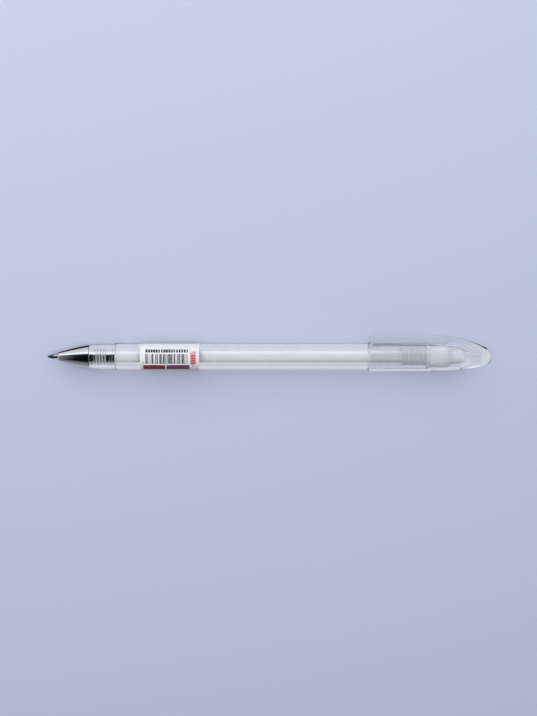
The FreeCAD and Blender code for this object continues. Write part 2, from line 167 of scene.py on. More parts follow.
class PenColours(PropertyGroup):
    """Colours of the pen's finishes"""

    clear: colour("Clear barrel", "Tint of the barrel's plastic", (0.985, 0.99, 1.0))
    clear_cap: colour("Clear cap", "Tint of the cap's plastic", (0.93, 0.938, 0.968))
    nickel: colour("Nickel", "Plating of the nose cone", (0.72, 0.73, 0.74))
    point: colour("Point metal", "Turned metal of the writing point", (0.66, 0.64, 0.62))
    ball: colour("Ball", "Ground metal of the ball", (0.2, 0.2, 0.22))
    refill: colour("Refill", "White refill tube", (0.77, 0.77, 0.775))
    plug: colour("End plug", "Milky end plug", (0.705, 0.705, 0.735))
    paper: colour("Paper", "Label paper", (0.7, 0.69, 0.68))
    print_dark: colour("Dark print", "Bars and plain marks", (0.02, 0.02, 0.025))
    print_maroon: colour("Maroon print", "First printed box", (0.16, 0.008, 0.035))
    print_purple: colour("Purple print", "Second printed box", (0.13, 0.02, 0.08))
    print_red: colour("Red print", "Upright mark at the label's end", (0.5, 0.025, 0.04))
    print_pink: colour("Pink print", "Halo round the red mark", (0.45, 0.3, 0.3))
    ink_film: colour("Ink film", "Ink that dulls the writing point", (0.1, 0.11, 0.17))
    ink: colour("Ink", "Writing ink in the refill", (0.01, 0.015, 0.09))
    holder: colour("Holder", "Adapter between the point and the tube", (0.75, 0.75, 0.76))


class StageSettings(PropertyGroup):
    """Floor, backdrop, lamps and the colour of the floor's painted glow in glass"""

    floor: colour("Floor", "Pale floor", (0.58, 0.62, 0.765))
    backdrop: colour("Backdrop", "Pale surroundings", (0.62, 0.66, 0.8))
    # Colour of the painted glow that clear plastic and metal see in the floor
    painted_glow_in_glass: colour("Floor in glass", "Pale surroundings in clear plastic", (0.88, 0.9, 0.95))


# Shapes


def rounded(corners, steps=5):
    """Outline points of (place, radius, rounding) corners, each rounding made an arc."""
    points = []
    count = len(corners)
    for index, (place, radius, size) in enumerate(corners):
        corner = Vector((place, radius))
        if size == 0:
            points.append((place, radius))
            continue
        back = (Vector(corners[index - 1][:2]) - corner).normalized()
        onward = (Vector(corners[(index + 1) % count][:2]) - corner).normalized()
        half = back.angle(onward) / 2
        centre = corner + (back + onward).normalized() * size / math.sin(half)
        start = corner + back * size / math.tan(half)
        end = corner + onward * size / math.tan(half)
        points.append(tuple(start + back * SUPPORT))
        for step in range(steps + 1):
            arm = (start - centre).slerp(end - centre, step / steps)
            points.append(tuple(centre + arm.normalized() * size))
        points.append(tuple(end + onward * SUPPORT))
    return points


def arc_between(start, end, bow, steps):
    """Points of a shallow arc from start to end, which stands out by bow in the middle."""
    start, end = Vector(start), Vector(end)
    chord = end - start
    outwards = Vector((-chord.y, chord.x)).normalized()
    points = []
    for step in range(steps + 1):
        share = step / steps
        points.append(tuple(start + chord * share + outwards * bow * 4 * share * (1 - share)))
    return points


def half_circle(half_length, height, steps, centre=0.0):
    """Outline of a ball, or of a longer or shorter one, from end to end."""
    points = []
    for step in range(steps):
        angle = math.pi * step / steps
        points.append((centre - half_length * math.cos(angle), height * math.sin(angle)))
    return [*points, (centre + half_length, 0)]


def curve_between(start, handle_a, handle_b, end, steps):
    """Points of a smooth curve with two handles."""
    ends = [Vector(point) for point in (start, handle_a, handle_b, end)]
    points = []
    for step in range(steps + 1):
        share = step / steps
        rest = 1 - share
        weights = (rest ** 3, 3 * rest ** 2 * share, 3 * rest * share ** 2, share ** 3)
        points.append(tuple(sum((e * w for e, w in zip(ends, weights)), Vector((0, 0)))))
    return points


def finish_shape(name, shape, material=None):
    """Makes an object of the shape, smooth up to the sharp angle."""
    bmesh.ops.recalc_face_normals(shape, faces=shape.faces)
    for face in shape.faces:
        face.smooth = True
    mesh = bpy.data.meshes.new(name)
    shape.to_mesh(mesh)
    shape.free()
    mesh.set_sharp_from_angle(angle=SHARP_ANGLE)
    piece = bpy.data.objects.new(name, mesh)
    bpy.context.scene.collection.objects.link(piece)
    if material:
        mesh.materials.append(material)
    return piece


def turned(name, outline, material=None, segments=ROUND_STEPS):
    """A closed outline of (place, radius) points turned about the pen's axis."""
    shape = bmesh.new()
    rings = []
    turns = [math.tau * step / segments for step in range(segments)]
    for place, radius in outline:
        if radius < NO_RADIUS:
            rings.append([shape.verts.new((place, 0, 0))] * segments)
            continue
        points = [(place, radius * math.cos(turn), radius * math.sin(turn)) for turn in turns]
        rings.append([shape.verts.new(point) for point in points])
    for ring, following in zip(rings, rings[1:] + rings[:1]):
        if ring[0] is ring[1] and following[0] is following[1]:
            continue
        for step in range(segments):
            onward = (step + 1) % segments
            corners = [ring[step], ring[onward], following[onward], following[step]]
            shape.faces.new(list(dict.fromkeys(corners)))
    return finish_shape(name, shape, material)


def lofted(name, sections):
    """A closed solid through sections with the same number of points."""
    shape = bmesh.new()
    rings = [[shape.verts.new(point) for point in section] for section in sections]
    for ring, following in zip(rings, rings[1:]):
        for step in range(len(ring)):
            onward = (step + 1) % len(ring)
            shape.faces.new([ring[step], ring[onward], following[onward], following[step]])
    shape.faces.new(rings[0])
    shape.faces.new(list(reversed(rings[-1])))
    return finish_shape(name, shape)


def apply_modifiers(piece):
    """Turns what the modifiers make into the piece's own plain mesh."""
    graph = bpy.context.evaluated_depsgraph_get()
    mesh = bpy.data.meshes.new_from_object(piece.evaluated_get(graph))
    piece.modifiers.clear()
    piece.data = mesh
    mesh.name = piece.name
    return piece


def combine(piece, other, operation):
    """Joins another solid to the piece or cuts it out of the piece."""
    modifier = piece.modifiers.new(operation, "BOOLEAN")
    modifier.operation = operation
    modifier.solver = "EXACT"
    modifier.object = other
    apply_modifiers(piece)
    bpy.data.objects.remove(other)


def coat(piece, material):
    """Gives the whole piece one material."""
    piece.data.materials.clear()
    piece.data.materials.append(material)
    for face in piece.data.polygons:
        face.material_index = 0


def lay(piece, body, slot, *nodes):
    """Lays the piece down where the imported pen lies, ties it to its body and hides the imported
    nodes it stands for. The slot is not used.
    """
    piece.data.transform(LAY_DOWN)
    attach(piece, body)
    if nodes:
        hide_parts(*nodes)


# Geometry Nodes


def node_tree(name, inputs):
    """A Geometry Nodes tree with named inputs and a material, and the sockets that give them."""
    kinds = {float: "NodeSocketFloat", int: "NodeSocketInt", type(None): "NodeSocketMaterial"}
    tree = bpy.data.node_groups.new(name, "GeometryNodeTree")
    for label, default in {**inputs, "Material": None}.items():
        kind = kinds[type(default)]
        socket = tree.interface.new_socket(label, in_out="INPUT", socket_type=kind)
        if default is not None:
            socket.default_value = default
    tree.interface.new_socket("Geometry", in_out="OUTPUT", socket_type="NodeSocketGeometry")
    return tree, tree.nodes.new("NodeGroupInput").outputs


def add_node(tree, kind, inputs=None, **settings):
    """A node with its settings, and with each named input set or linked."""
    node = tree.nodes.new(kind)
    for key, setting in settings.items():
        setattr(node, key, setting)
    for key, source in (inputs or {}).items():
        if isinstance(source, bpy.types.NodeSocket):
            tree.links.new(source, node.inputs[key])
        else:
            node.inputs[key].default_value = source
    return node


def output_of(tree, kind, inputs=None, **settings):
    """The first output of a new node."""
    return add_node(tree, kind, inputs, **settings).outputs[0]


def maths(tree, operation, first, second, **settings):
    """The result of a sum on two numbers or sockets."""
    sources = {0: first, 1: second}
    return output_of(tree, "ShaderNodeMath", sources, operation=operation, **settings)


def along_x(tree, distance):
    """A vector along the pen."""
    return output_of(tree, "ShaderNodeCombineXYZ", {"X": distance})


def circle(tree, steps, radius):
    """A circular curve."""
    sources = {"Resolution": steps, "Radius": radius}
    return output_of(tree, "GeometryNodeCurvePrimitiveCircle", sources)


def swept(tree, curve, steps, radius, caps=False):
    """A mesh of a round section that follows the curve."""
    sources = {"Curve": curve, "Profile Curve": circle(tree, steps, radius), "Fill Caps": caps}
    return output_of(tree, "GeometryNodeCurveToMesh", sources)


def in_a_row(tree, piece, count, stride, start, placing):
    """Instances of the piece in a row along X."""
    first, onward = along_x(tree, start), along_x(tree, stride)
    sources = {"Count": count, "Start Location": first, "Offset": onward}
    row = output_of(tree, "GeometryNodeMeshLine", sources)
    sources = {"Points": row, "Instance": piece, **placing}
    return output_of(tree, "GeometryNodeInstanceOnPoints", sources)


def finish_tree(tree, geometry, material):
    """Ends a tree with smooth shading, real meshes and the material."""
    smooth = output_of(tree, "GeometryNodeSetShadeSmooth", {"Geometry": geometry})
    real = output_of(tree, "GeometryNodeRealizeInstances", {"Geometry": smooth})
    coated = output_of(tree, "GeometryNodeSetMaterial", {"Geometry": real, "Material": material})
    add_node(tree, "NodeGroupOutput", {0: coated})
    return tree


def grow(name, tree, values):
    """A plain mesh object made by the tree from a value for each of its named inputs."""
    piece = bpy.data.objects.new(name, bpy.data.meshes.new(name))
    bpy.context.scene.collection.objects.link(piece)
    modifier = piece.modifiers.new(name, "NODES")
    modifier.node_group = tree
    for socket in tree.interface.items_tree:
        if socket.in_out == "INPUT":
            modifier[socket.identifier] = values[socket.name]
    apply_modifiers(piece)
    coat(piece, values["Material"])
    return piece


def thread_tree():
    """A round-crested helical thread along X."""
    tree, given = node_tree(
        "Thread", {"Radius": 1.0, "Pitch": 1.0, "Length": 1.0, "Crest": 0.1, "Start": 0.0}
    )
    sources = {
        "Resolution": 72,
        "Rotations": maths(tree, "DIVIDE", given["Length"], given["Pitch"]),
        "Start Radius": given["Radius"],
        "End Radius": given["Radius"],
        "Height": given["Length"],
    }
    helix = output_of(tree, "GeometryNodeCurveSpiral", sources)
    sources = {
        "Geometry": swept(tree, helix, 10, given["Crest"], caps=True),
        "Translation": along_x(tree, given["Start"]),
        "Rotation": QUARTER_TURN,
    }
    thread = output_of(tree, "GeometryNodeTransform", sources)
    return finish_tree(tree, thread, given["Material"])


def rib_tree():
    """Round-edged rings in a row along X."""
    tree, given = node_tree(
        "Ribs", {"Radius": 1.0, "Edge": 0.1, "Pitch": 1.0, "Count": 8, "Start": 0.0}
    )
    rib = swept(tree, circle(tree, INNER_STEPS, given["Radius"]), 12, given["Edge"])
    row = (given["Count"], given["Pitch"], given["Start"])
    ribs = in_a_row(tree, rib, *row, {"Rotation": QUARTER_TURN})
    return finish_tree(tree, ribs, given["Material"])


def bar_tree():
    """Upright bars of chance widths in a row along X, each one a flat strip in the XY plane."""
    sizes = {"Count": 30, "Stride": 1.0, "Height": 1.0}
    tree, given = node_tree("Bars", {**sizes, "Thinnest": 0.3, "Widest": 0.9, "Seed": 0})
    stride = given["Stride"]
    sources = {"Size X": stride, "Size Y": given["Height"], "Vertices X": 2, "Vertices Y": 12}
    strip = output_of(tree, "GeometryNodeMeshGrid", sources)
    sources = {2: given["Thinnest"], 3: given["Widest"], "Seed": given["Seed"]}
    chance = add_node(tree, "FunctionNodeRandomValue", sources, data_type="FLOAT")
    sources = {"X": chance.outputs[1], "Y": 1.0, "Z": 1.0}
    scale = output_of(tree, "ShaderNodeCombineXYZ", sources)
    bars = in_a_row(tree, strip, given["Count"], stride, 0.0, {"Scale": scale})
    return finish_tree(tree, bars, given["Material"])


# Materials


def principled_material(name, tint, roughness, settings=None):
    """A new material with its tree, its shader and the object's own coordinates."""
    material = bpy.data.materials.new(name)
    material.use_nodes = True
    tree = material.node_tree
    shader = tree.nodes["Principled BSDF"]
    shader.inputs["Base Color"].default_value = (*tint, 1)
    shader.inputs["Roughness"].default_value = roughness
    for label, setting in (settings or {}).items():
        shader.inputs[label].default_value = setting
    return material, tree, shader, tree.nodes.new("ShaderNodeTexCoord").outputs["Object"]


def grain(tree, where, scale, detail, stretch=(1, 1, 1)):
    """Noise of a scale per metre, stretched along the pen or round it."""
    along = output_of(tree, "ShaderNodeMapping", {"Vector": where, "Scale": stretch})
    sources = {"Vector": along, "Scale": scale, "Detail": detail}
    return add_node(tree, "ShaderNodeTexNoise", sources).outputs["Fac"]


def between(tree, factor, low, high, start=0.0, end=1.0):
    """A number that goes from low to high while the factor goes from start to end."""
    sources = {"Value": factor, "From Min": start, "From Max": end}
    return output_of(tree, "ShaderNodeMapRange", {**sources, "To Min": low, "To Max": high})


def tinted(tree, factor, first, second):
    """A colour between two colours, each one given as levels or by a socket."""
    sources = {"Factor": factor}
    for place, source in ((6, first), (7, second)):
        plain_levels = not isinstance(source, bpy.types.NodeSocket)
        sources[place] = (*source, 1) if plain_levels else source
    return add_node(tree, "ShaderNodeMix", sources, data_type="RGBA").outputs[2]


def darker(tint, share):
    """A share of a colour's light."""
    return tuple(channel * share for channel in tint)


def ramp(tree, factor, stops):
    """The colour at the factor on a ramp of (place, colour) stops."""
    node = add_node(tree, "ShaderNodeValToRGB", {"Fac": factor})
    elements = node.color_ramp.elements
    while len(elements) < len(stops):
        elements.new(0.5)
    for element, (place, tint) in zip(elements, stops):
        element.position = place
        element.color = (*tint, 1)
    return node.outputs["Color"]


def mirror_ray(tree, path):
    """One for rays that a surface mirrors, and nought for rays that pass through plastic."""
    glossy, passing = path["Is Glossy Ray"], path["Is Transmission Ray"]
    return maths(tree, "SUBTRACT", glossy, passing, use_clamp=True)


def light_path(tree):
    """What is known of the ray that sees a material."""
    return tree.nodes.new("ShaderNodeLightPath").outputs


def vary(tree, shader, tint=None, roughness=None, bump=None):
    """Varies the shader's colour and roughness between two values, and its normal by a height."""
    if tint:
        tree.links.new(tinted(tree, *tint), shader.inputs["Base Color"])
    if roughness:
        tree.links.new(between(tree, *roughness), shader.inputs["Roughness"])
    if bump:
        height, distance, strength = bump
        sources = {"Height": height, "Distance": distance, "Strength": strength}
        tree.links.new(output_of(tree, "ShaderNodeBump", sources), shader.inputs["Normal"])


def end_with_mix(tree, factor, first, second):
    """Ends a material with a mix of two shaders."""
    sources = {"Fac": factor, 1: first.outputs[0], 2: second.outputs[0]}
    mix = output_of(tree, "ShaderNodeMixShader", sources)
    tree.links.new(mix, tree.nodes["Material Output"].inputs["Surface"])


def clear_plastic(name, tint):
    """Clear moulded plastic with faint flow lines and handling marks."""
    glass = {"Transmission Weight": 1, "IOR": 1.5}
    material, tree, shader, where = principled_material(name, tint, 0.0, glass)
    marks = grain(tree, where, 900, 4, stretch=(0.3, 1, 1))
    flow = grain(tree, where, 260, 2, stretch=(0.12, 1, 1))
    vary(tree, shader, roughness=(marks, 0.0, 0.03), bump=(flow, 0.006 * MM, 0.05))
    # Lamps shine through it with little loss
    shade = add_node(tree, "ShaderNodeBsdfTransparent", {"Color": (0.99, 0.992, 0.997, 1)})
    end_with_mix(tree, light_path(tree)["Is Shadow Ray"], shader, shade)
    return material


def turned_metal(name, tint, roughness, line_scale, line_depth):
    """Metal with fine lines left by turning, under plating or bare."""
    material, tree, shader, where = principled_material(name, tint, roughness, {"Metallic": 1})
    lines = grain(tree, where, line_scale, 2, stretch=(1, 0.02, 0.02))
    haze = grain(tree, where, 700, 4)
    vary(
        tree,
        shader,
        tint=(haze, darker(tint, 0.93), tint),
        roughness=(haze, roughness * 0.6, roughness * 1.5),
        bump=(lines, line_depth, 0.5),
    )
    return material


def smooth_plastic(name, tint, roughness, milk, depth):
    """Opaque or milky plastic with faint lengthwise flow marks."""
    scatter = {"Weight": milk, "Scale": depth, "Radius": (1, 1, 1)}
    scatter = {f"Subsurface {label}": setting for label, setting in scatter.items()}
    material, tree, shader, where = principled_material(name, tint, roughness, scatter)
    flow = grain(tree, where, 500, 3, stretch=(0.08, 1, 1))
    vary(
        tree,
        shader,
        tint=(flow, darker(tint, 0.95), tint),
        roughness=(flow, roughness * 0.8, roughness * 1.3),
        bump=(flow, 0.01 * MM, 0.3),
    )
    return material


def label_paper(name, tint):
    """Coated paper with fibres and a little unevenness from the glue."""
    material, tree, shader, where = principled_material(name, tint, 0.5)
    fibres = grain(tree, where, 5200, 5)
    glue = grain(tree, where, 420, 2)
    vary(
        tree,
        shader,
        tint=(fibres, darker(tint, 0.93), tint),
        roughness=(glue, 0.38, 0.6),
        bump=(fibres, 0.008 * MM, 0.5),
    )
    return material


def print_ink(name, tint):
    """Printing ink, slightly uneven where the paper's fibres took less of it."""
    material, tree, shader, where = principled_material(name, tint, 0.42)
    patches = grain(tree, where, 3800, 4)
    paler = tuple(min(1.0, channel * 1.25 + 0.015) for channel in tint)
    vary(tree, shader, tint=(patches, tint, paler), roughness=(patches, 0.36, 0.52))
    return material


# Operators


class PEN_OT_barrel(Operator):
    """Make the clear barrel with its two cap seats"""

    bl_idname = "pen.barrel"
    bl_label = "Barrel"

    def execute(self, context):
        sizes = context.scene.pen_body
        start = start_of("barrel") + SKIN
        end = end_of("barrel") - SKIN
        front = start_of("barrel") + sizes.front_seat
        rear = end_of("barrel") - sizes.rear_seat
        seat = BARREL_RADIUS - sizes.seat_step
        edge, foot, bore_edge, lead_round = 0.12 * MM, 0.06 * MM, 0.05 * MM, 1.5 * MM
        corners = [
            (start, sizes.bore, bore_edge),
            (start, seat - sizes.seat_lead_drop, edge),
            (start + sizes.seat_lead, seat, lead_round),
            (front, seat, foot),
            (front, BARREL_RADIUS, edge),
            (rear, BARREL_RADIUS, edge),
            (rear, seat, foot),
            (end, seat, edge),
            (end, sizes.bore, bore_edge),
        ]
        material = clear_plastic("clear_barrel", context.scene.pen_colours.clear)
        barrel = turned("barrel_clear", rounded(corners), material)
        lay(barrel, "pen", "clear_barrel", "barrel")
        return {"FINISHED"}


class PEN_OT_nose_cone(Operator):
    """Make the plated nose cone with its threaded shank"""

    bl_idname = "pen.nose_cone"
    bl_label = "Nose cone"

    def execute(self, context):
        sizes = context.scene.pen_body
        front = start_of("nose_cone")
        base = front + sizes.cone_length
        base_radius = radius_of("nose_cone")
        end = end_of("nose_cone")
        play = 0.025 * MM
        shank = sizes.bore - play
        groove = shank - sizes.groove_depth
        hole, bore = 0.825 * MM, 2.1 * MM
        bore_start = front + 5.55 * MM
        edge, foot, ring_edge, hole_edge = 0.12 * MM, 0.05 * MM, 0.08 * MM, 0.1 * MM
        last_ring = end - sizes.ring_width
        gap_start = last_ring - sizes.ring_gap
        first_ring = gap_start - sizes.ring_width
        thread_end = first_ring - sizes.ring_relief
        thread_start = base + sizes.thread_start
        side = arc_between(
            (front + edge, sizes.cone_tip), (base - edge, base_radius), sizes.cone_bow, 24
        )
        shank_corners = [
            (base, base_radius - edge, 0),
            (base, shank, 0),
            (thread_start, shank, foot),
            (thread_start, sizes.thread_core, foot),
            (first_ring, sizes.thread_core, foot),
            (first_ring, shank, ring_edge),
            (gap_start, shank, ring_edge),
            (gap_start, groove, foot),
            (last_ring, groove, foot),
            (last_ring, shank, ring_edge),
            (end, shank, ring_edge),
            (end, bore, 0),
            (bore_start, bore, 0),
            (front + TIP_HOLE_LENGTH, hole, 0),
            (front, hole, hole_edge),
            (front, sizes.cone_tip - edge, 0),
        ]
        nickel = context.scene.pen_colours.nickel
        plated = turned_metal("plated_cone", nickel, 0.1, 9000, 0.004 * MM)
        cone = turned("nose_cone_plated", side + rounded(shank_corners), plated)
        crest = sizes.thread_crest
        thread = grow(
            "nose_cone_thread",
            thread_tree(),
            {
                "Radius": shank - crest,
                "Pitch": sizes.thread_pitch,
                "Length": thread_end - thread_start - crest,
                "Crest": crest,
                "Start": thread_start + crest,
                "Material": plated,
            },
        )
        lay(cone, "pen", "plated_cone", "nose_cone")
        lay(thread, "pen", "plated_cone")
        return {"FINISHED"}


def stained_metal(colours, taper_end):
    """Turned metal whose taper keeps a dark film of ink."""
    metal = turned_metal("point_metal", colours.point, 0.2, 14000, 0.003 * MM)
    tree = metal.node_tree
    base = tree.nodes["Principled BSDF"].inputs["Base Color"]
    clean = base.links[0].from_socket
    where = tree.nodes.new("ShaderNodeTexCoord").outputs["Object"]
    along = output_of(tree, "ShaderNodeSeparateXYZ", {"Vector": where})
    fade, cover = 0.1 * MM, 0.92
    film = between(tree, along, 0, cover, taper_end + fade, taper_end - fade)
    tree.links.new(tinted(tree, film, clean, colours.ink_film), base)
    return metal


class PEN_OT_writing_point(Operator):
    """Make the turned writing point and its ball"""

    bl_idname = "pen.writing_point"
    bl_label = "Writing point"

    def execute(self, context):
        colours = context.scene.pen_colours
        front = start_of("writing_point")
        end = end_of("writing_point")
        ball_radius = radius_of("ball")
        ball_centre = start_of("ball") + ball_radius
        taper_end = front + 1.85 * MM
        seat = start_of("nose_cone") + TIP_HOLE_LENGTH
        channel, lip, neck, shank = 0.2 * MM, 0.42 * MM, 0.775 * MM, 1.15 * MM
        lip_edge, taper_round, shank_edge = 0.04 * MM, 0.3 * MM, 0.1 * MM
        socket = ball_radius + SKIN
        opening = math.acos((front - ball_centre) / socket)
        closing = math.asin(channel / socket)
        cup_steps = 12
        cup = []
        for step in range(cup_steps + 1):
            angle = closing + (opening - closing) * step / cup_steps
            cup.append((ball_centre + socket * math.cos(angle), socket * math.sin(angle)))
        body = rounded(
            [
                (front, lip, lip_edge),
                (taper_end, neck, taper_round),
                (seat, neck, 0),
                (seat, shank, 0),
                (end, shank, shank_edge),
                (end, channel, 0),
            ]
        )
        metal = stained_metal(colours, taper_end)
        point = turned("writing_point_turned", body + cup, metal, INNER_STEPS)
        lay(point, "pen", "point_metal", "writing_point")
        outline = half_circle(ball_radius, ball_radius, 32, ball_centre)
        ground = turned_metal("ball_metal", colours.ball, 0.16, 12000, 0.001 * MM)
        lay(turned("ball_ground", outline, ground, 96), "ball", "ball_metal", "ball")
        return {"FINISHED"}


class PEN_OT_refill(Operator):
    """Make the white refill tube and finish the pieces inside it"""

    bl_idname = "pen.refill"
    bl_label = "Refill"

    def execute(self, context):
        colours = context.scene.pen_colours
        start = start_of("refill_tube")
        end = end_of("refill_tube")
        radius = radius_of("refill_tube")
        bore = radius_of("ink_fill")
        edge = 0.08 * MM
        corners = [
            (start, bore, 0),
            (start, radius, edge),
            (end, radius, edge),
            (end, bore, 0),
        ]
        material = smooth_plastic("white_tube", colours.refill, 0.3, 0.2, 0.4 * MM)
        tube = turned("refill_white", rounded(corners), material, INNER_STEPS)
        lay(tube, "pen", "white_tube", "refill_tube")
        finishes = {
            "tip_holder": smooth_plastic("holder_plastic", colours.holder, 0.45, 0.1, 0.4 * MM),
            "ink_fill": smooth_plastic("ink", colours.ink, 0.2, 0.0, 0.1 * MM),
        }
        for node, finish in finishes.items():
            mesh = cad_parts[node].data
            mesh.materials.clear()
            mesh.materials.append(finish)
        return {"FINISHED"}


class PEN_OT_end_plug(Operator):
    """Make the milky end plug with its ribs"""

    bl_idname = "pen.end_plug"
    bl_label = "End plug"

    def execute(self, context):
        sizes = context.scene.pen_body
        front = start_of("end_plug")
        end = end_of("end_plug")
        barrel_end = end_of("barrel")
        play = 0.03 * MM
        crest = sizes.bore - play
        core = crest - sizes.rib_height
        socket = radius_of("refill_tube") + 0.05 * MM
        socket_end = front + 4 * MM
        collar = barrel_end - 0.7 * MM
        collar_slope = 0.2 * MM
        flange = radius_of("end_plug")
        flange_end = barrel_end + 0.35 * MM
        head = flange - 0.45 * MM
        head_start = barrel_end + 1 * MM
        head_end = barrel_end + 6.8 * MM
        nub = 2.4 * MM
        nub_start = head_end + 2 * MM
        edge, foot = 0.1 * MM, 0.05 * MM
        corners = [
            (socket_end, 0, 0),
            (socket_end, socket, 0),
            (front, socket, 0),
            (front, core, edge),
            (collar - collar_slope, core, foot),
            (collar, crest, foot),
            (barrel_end, crest, 0),
            (barrel_end + SKIN, flange, edge),
            (flange_end, flange, 0.25 * MM),
            (head_start, head, 0.4 * MM),
            (head_end, head, 1.2 * MM),
            (nub_start, nub, 0.6 * MM),
            (end, nub, 1.0 * MM),
            (end, 0, 0),
        ]
        tint = context.scene.pen_colours.plug
        milky = smooth_plastic("plug_plastic", tint, 0.45, 0.4, 0.6 * MM)
        plug = turned("end_plug_milky", rounded(corners, 7), milky, INNER_STEPS)
        lay(plug, "pen", "plug_plastic", "end_plug")
        rib_edge = 0.3 * MM
        first_rib = front + 0.6 * MM
        ribs = grow(
            "end_plug_ribs",
            rib_tree(),
            {
                "Radius": crest - rib_edge,
                "Edge": rib_edge,
                "Pitch": sizes.rib_pitch,
                "Count": sizes.rib_count,
                "Start": first_rib,
                "Material": milky,
            },
        )
        lay(ribs, "pen", "plug_plastic")
        return {"FINISHED"}


def clip_section(place, low, high, half_width, top_edge):
    """One section across the clip, with round upper and softer lower edges."""
    thickness = high - low
    top_edge = min(top_edge, thickness * 0.45)  # less than half, so both edges fit
    under_edge = min(0.2 * MM, thickness * 0.2)
    corners = [
        (-half_width, low, under_edge),
        (half_width, low, under_edge),
        (half_width, high, top_edge),
        (-half_width, high, top_edge),
    ]
    return [(place, up, across) for across, up in rounded(corners, 6)]


def lead_height(under, place):
    """Height of the clip's underside, which lifts in a curve towards its tip."""
    lift, bend = 0.9 * MM, 1.6
    return under + lift * max(0.0, 1 - place / LEAD) ** bend


def clip_solid(sizes, mouth, shoulder, slot_end, crown_end):
    """The clip's solid, from its round tip over the slot and into the crown."""
    top, under = sizes.clip_top, sizes.clip_under
    tip = mouth + 0.35 * MM
    tip_round = 0.9 * MM
    stations = []
    for step in range(9):
        angle = math.pi / 2 * step / 8
        place = tip + tip_round * (1 - math.cos(angle))
        high = top - tip_round * (1 - math.sin(angle))
        stations.append((place, lead_height(under, place - tip), high))
    for step in range(1, 7):
        place = tip + tip_round + (LEAD - tip_round) * step / 6
        stations.append((place, lead_height(under, place - tip), top))
    for step in range(1, 9):
        place = tip + LEAD + (shoulder - tip - LEAD) * step / 8
        stations.append((place, under, top))
    clip_end = crown_end - 1.5 * MM
    end_height = 2.885 * MM
    inside = 1.2 * MM
    run = clip_end - shoulder
    drop = top - end_height
    sweep = (run ** 2 + drop ** 2) / (2 * drop)
    slope_length, slope_drop = 4.5 * MM, 0.6 * MM
    slope_start = slot_end - slope_length
    for step in range(1, 41):
        place = shoulder + run * step / 40
        high = top - sweep + math.sqrt(sweep ** 2 - (place - shoulder) ** 2)
        if place < slot_end:
            slope = max(0.0, place - slope_start) / slope_length
            stations.append((place, under - slope_drop * slope, high))
            continue
        if stations[-1][0] < slot_end:
            stations.append((slot_end, under - slope_drop, high))
            stations.append((slot_end + SUPPORT, inside, high))
        stations.append((place, inside, high))
    across = (sizes.clip_width / 2, sizes.clip_round)
    return lofted("clip_loft", [clip_section(*station, *across) for station in stations])


def cap_body(sizes, mouth, shoulder, radius, end):
    """The cap's outer solid, with its long shoulder and its blunt crown."""
    crown = shoulder + sizes.shoulder
    sink = radius - sizes.shoulder_radius

    def height(place):
        return sink + math.sqrt(sizes.shoulder_radius ** 2 - (place - shoulder) ** 2)

    outline = rounded([(mouth, 0, 0), (mouth, radius, sizes.rim), (shoulder, radius, 0)])
    for step in range(1, 31):
        place = shoulder + sizes.shoulder * step / 30
        outline.append((place, height(place)))
    slope = math.asin(sizes.shoulder / sizes.shoulder_radius)
    handle, end_handle = 2.2 * MM, 2.8 * MM
    outline += curve_between(
        (crown, height(crown)),
        (crown + handle * math.cos(slope), height(crown) - handle * math.sin(slope)),
        (end, end_handle),
        (end, 0),
        20,
    )[1:]
    return turned("cap_clear", outline)


def slot_solid(sizes, start, end, bore, radius):
    """The block that the slot under the clip takes out of the cap's wall."""
    half = sizes.clip_width / 2 + sizes.slot_side
    below, above = 1.3 * MM, 1 * MM
    low, high = bore - below, radius + above
    corners = ((low, -half), (low, half), (high, half), (high, -half))
    sections = [[(place, *corner) for corner in corners] for place in (start, end)]
    return lofted("slot_cut", sections)


def bore_solid(mouth, shoulder, bore):
    """The hollow of the cap, with a narrow cavity in its crown."""
    over = 1 * MM
    lead, lead_rise = 0.3 * MM, 0.12 * MM
    neck, cavity = 3.25 * MM, 1.65 * MM
    neck_round = 1.2 * MM
    plug_clear = end_of("end_plug") + 0.8 * MM
    neck_start, cavity_start = plug_clear - 2.6 * MM, plug_clear + 0.9 * MM
    cavity_end = plug_clear + 5 * MM
    corners = [
        (mouth - over, 0, 0),
        (mouth - over, bore + over, 0),
        (mouth, bore + lead_rise, 0),
        (mouth + lead, bore, 0.2 * MM),
        (shoulder, bore, 6 * MM),
        (neck_start, neck, neck_round),
        (cavity_start, cavity, neck_round),
        (cavity_end, cavity, 0.6 * MM),
        (cavity_end, 0, 0),
    ]
    return turned("bore_cut", rounded(corners, 8))


def ridge_solid(sizes, mouth, seat):
    """The small cross ridge under the clip, which holds it on cloth."""
    half_width, clear = 1.3 * MM, 0.1 * MM
    ridge = turned("clip_ridge", half_circle(half_width, sizes.ridge, 16), None, 48)
    centre = seat + clear + sizes.ridge
    ridge.data.transform(
        Matrix.Translation((mouth + sizes.ridge_place, centre, 0))
        @ Matrix.Rotation(math.pi / 2, 4, "Y")
    )
    return ridge


